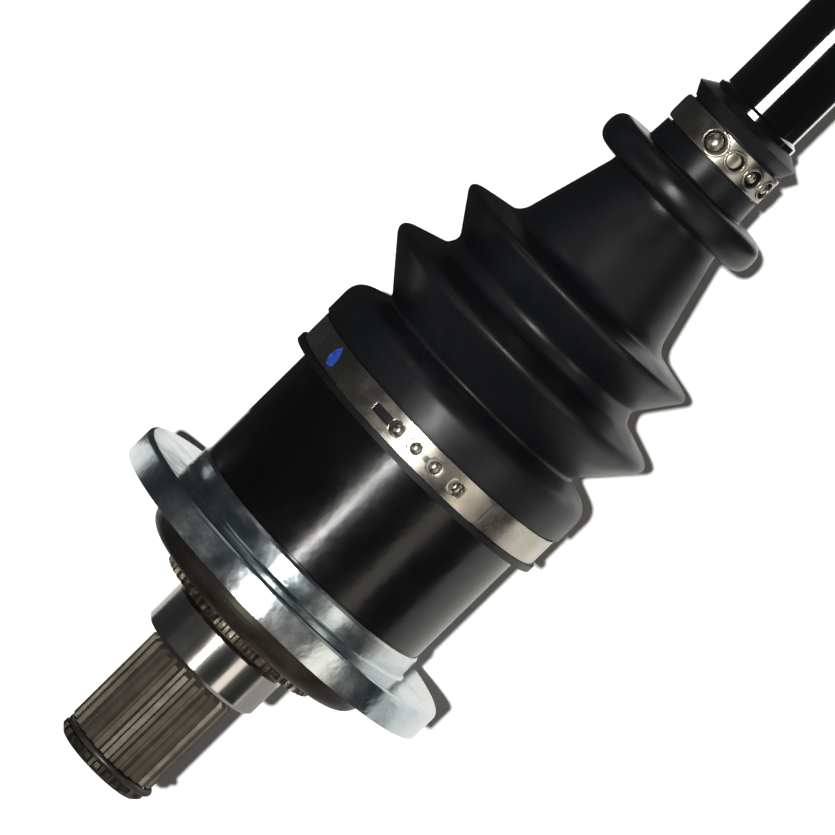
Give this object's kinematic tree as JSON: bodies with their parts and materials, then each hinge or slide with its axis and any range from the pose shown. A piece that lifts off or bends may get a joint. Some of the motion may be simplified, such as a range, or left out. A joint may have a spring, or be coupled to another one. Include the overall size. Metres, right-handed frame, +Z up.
{
  "type": "cv axle",
  "caption": "Axle half shaft with a plunging ball joint and splined stub at the gearbox end, rubber bellows, and a steering ball joint with a hub stub.",
  "frame": {"origin": "centre of the ground journal on the inboard stub, on the axle's axis", "axes": "+X along the axle towards the hub end, +Z up"},
  "size_m": [0.687, 0.1218, 0.1218],
  "materials": {
    "black_paint": "glossy",
    "zinc": "bright zinc plate",
    "machined_steel": "oiled, machined",
    "stainless_band": "rolled stainless",
    "bearing_steel": "ground",
    "spring_steel": "dark drawn wire",
    "boot_rubber": "satin"
  },
  "bodies": {
    "inboard_joint": {"inboard_housing": "black_paint", "stub_retaining_ring": "spring_steel", "toothed_ring": "machined_steel", "dust_cover": "zinc", "ball_stop_ring": "spring_steel", "inboard_large_clamp": "stainless_band"},
    "inboard_boot": {"inboard_boot": "boot_rubber"},
    "inboard_cage": {"inboard_cage": "bearing_steel", "inboard_ball_1": "bearing_steel", "inboard_ball_2": "bearing_steel", "inboard_ball_3": "bearing_steel", "inboard_ball_4": "bearing_steel", "inboard_ball_5": "bearing_steel", "inboard_ball_6": "bearing_steel"},
    "axle_shaft": {"axle_shaft": "black_paint", "inboard_race": "bearing_steel", "inboard_race_clip": "spring_steel", "inboard_race_stop": "spring_steel", "inboard_small_clamp": "stainless_band", "outboard_small_clamp": "stainless_band", "outboard_race": "bearing_steel", "outboard_race_clip": "spring_steel"},
    "outboard_boot": {"outboard_boot": "boot_rubber"},
    "outboard_cage": {"outboard_cage": "bearing_steel", "outboard_ball_1": "bearing_steel", "outboard_ball_2": "bearing_steel", "outboard_ball_3": "bearing_steel", "outboard_ball_4": "bearing_steel", "outboard_ball_5": "bearing_steel", "outboard_ball_6": "bearing_steel"},
    "outboard_joint": {"outboard_bell": "black_paint", "outboard_large_clamp": "stainless_band", "bell_dust_shield": "zinc"}
  },
  "joints": [
    {"name": "inboard_plunge", "type": "slide", "parent": "inboard_joint", "child": "inboard_boot", "axis": [1, 0, 0], "range_m": [-0.015, 0.012], "deforming": ["inboard_boot"]},
    {"name": "inboard_tilt", "type": "hinge", "parent": "inboard_boot", "child": "axle_shaft", "pos_m": [0.066, 0, 0], "axis": [0, 1, 0], "range_deg": [-20, 20]},
    {"name": "inboard_cage_tilt", "type": "hinge", "parent": "inboard_boot", "child": "inboard_cage", "pos_m": [0.066, 0, 0], "axis": [0, 1, 0], "range_deg": [-10, 10]},
    {"name": "outboard_tilt", "type": "hinge", "parent": "axle_shaft", "child": "outboard_boot", "pos_m": [0.5, 0, 0], "axis": [0, 1, 0], "range_deg": [-10, 10], "deforming": ["outboard_boot"]},
    {"name": "outboard_steer", "type": "hinge", "parent": "outboard_boot", "child": "outboard_joint", "pos_m": [0.5, 0, 0], "axis": [0, 0, 1], "range_deg": [-42, 42]},
    {"name": "outboard_cage_steer", "type": "hinge", "parent": "outboard_boot", "child": "outboard_cage", "pos_m": [0.5, 0, 0], "axis": [0, 0, 1], "range_deg": [-21, 21]}
  ],
  "couplings": [
    {"joint": "inboard_cage_tilt", "follows": "inboard_tilt", "ratio": 0.5},
    {"joint": "outboard_cage_steer", "follows": "outboard_steer", "ratio": 0.5}
  ]
}
